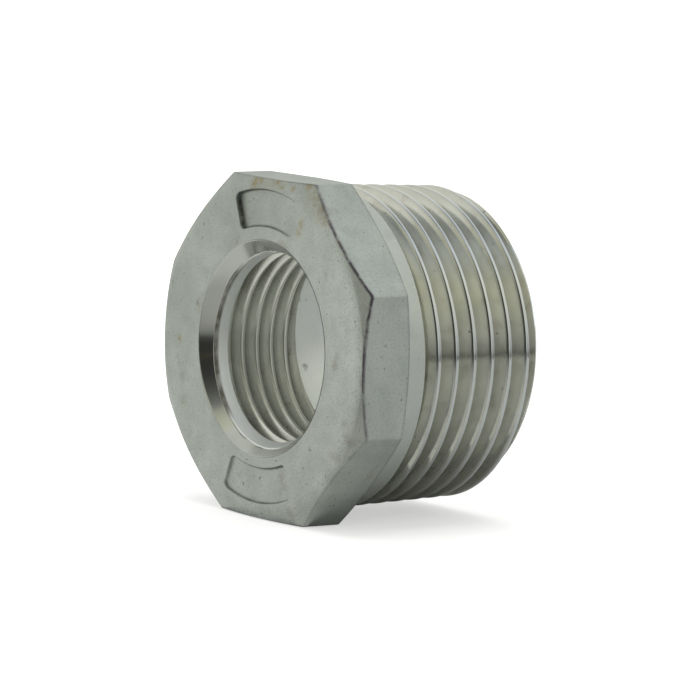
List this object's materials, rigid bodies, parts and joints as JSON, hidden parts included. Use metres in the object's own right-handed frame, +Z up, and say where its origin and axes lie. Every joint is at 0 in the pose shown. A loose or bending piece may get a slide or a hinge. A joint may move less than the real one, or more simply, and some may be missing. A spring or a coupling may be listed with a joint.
{
  "type": "pipe reducing bushing",
  "caption": "Stainless steel reducing bushing: eight-sided head with a countersunk female threaded bore and a tapered male thread behind it.",
  "frame": {"origin": "on the thread axis, halfway along the part, which is also the middle of its box", "axes": "+Y along the thread axis from the head towards the male threaded end; +Z up, square to one flat of the head, with the opposite flat facing down; +X to the right seen from the head"},
  "size_m": [0.035, 0.0242, 0.035],
  "materials": {
    "cast_stainless": "matt blasted casting with turned threads and a polished countersink"
  },
  "bodies": {
    "root": {"bushing_body": "cast_stainless"}
  },
  "joints": []
}
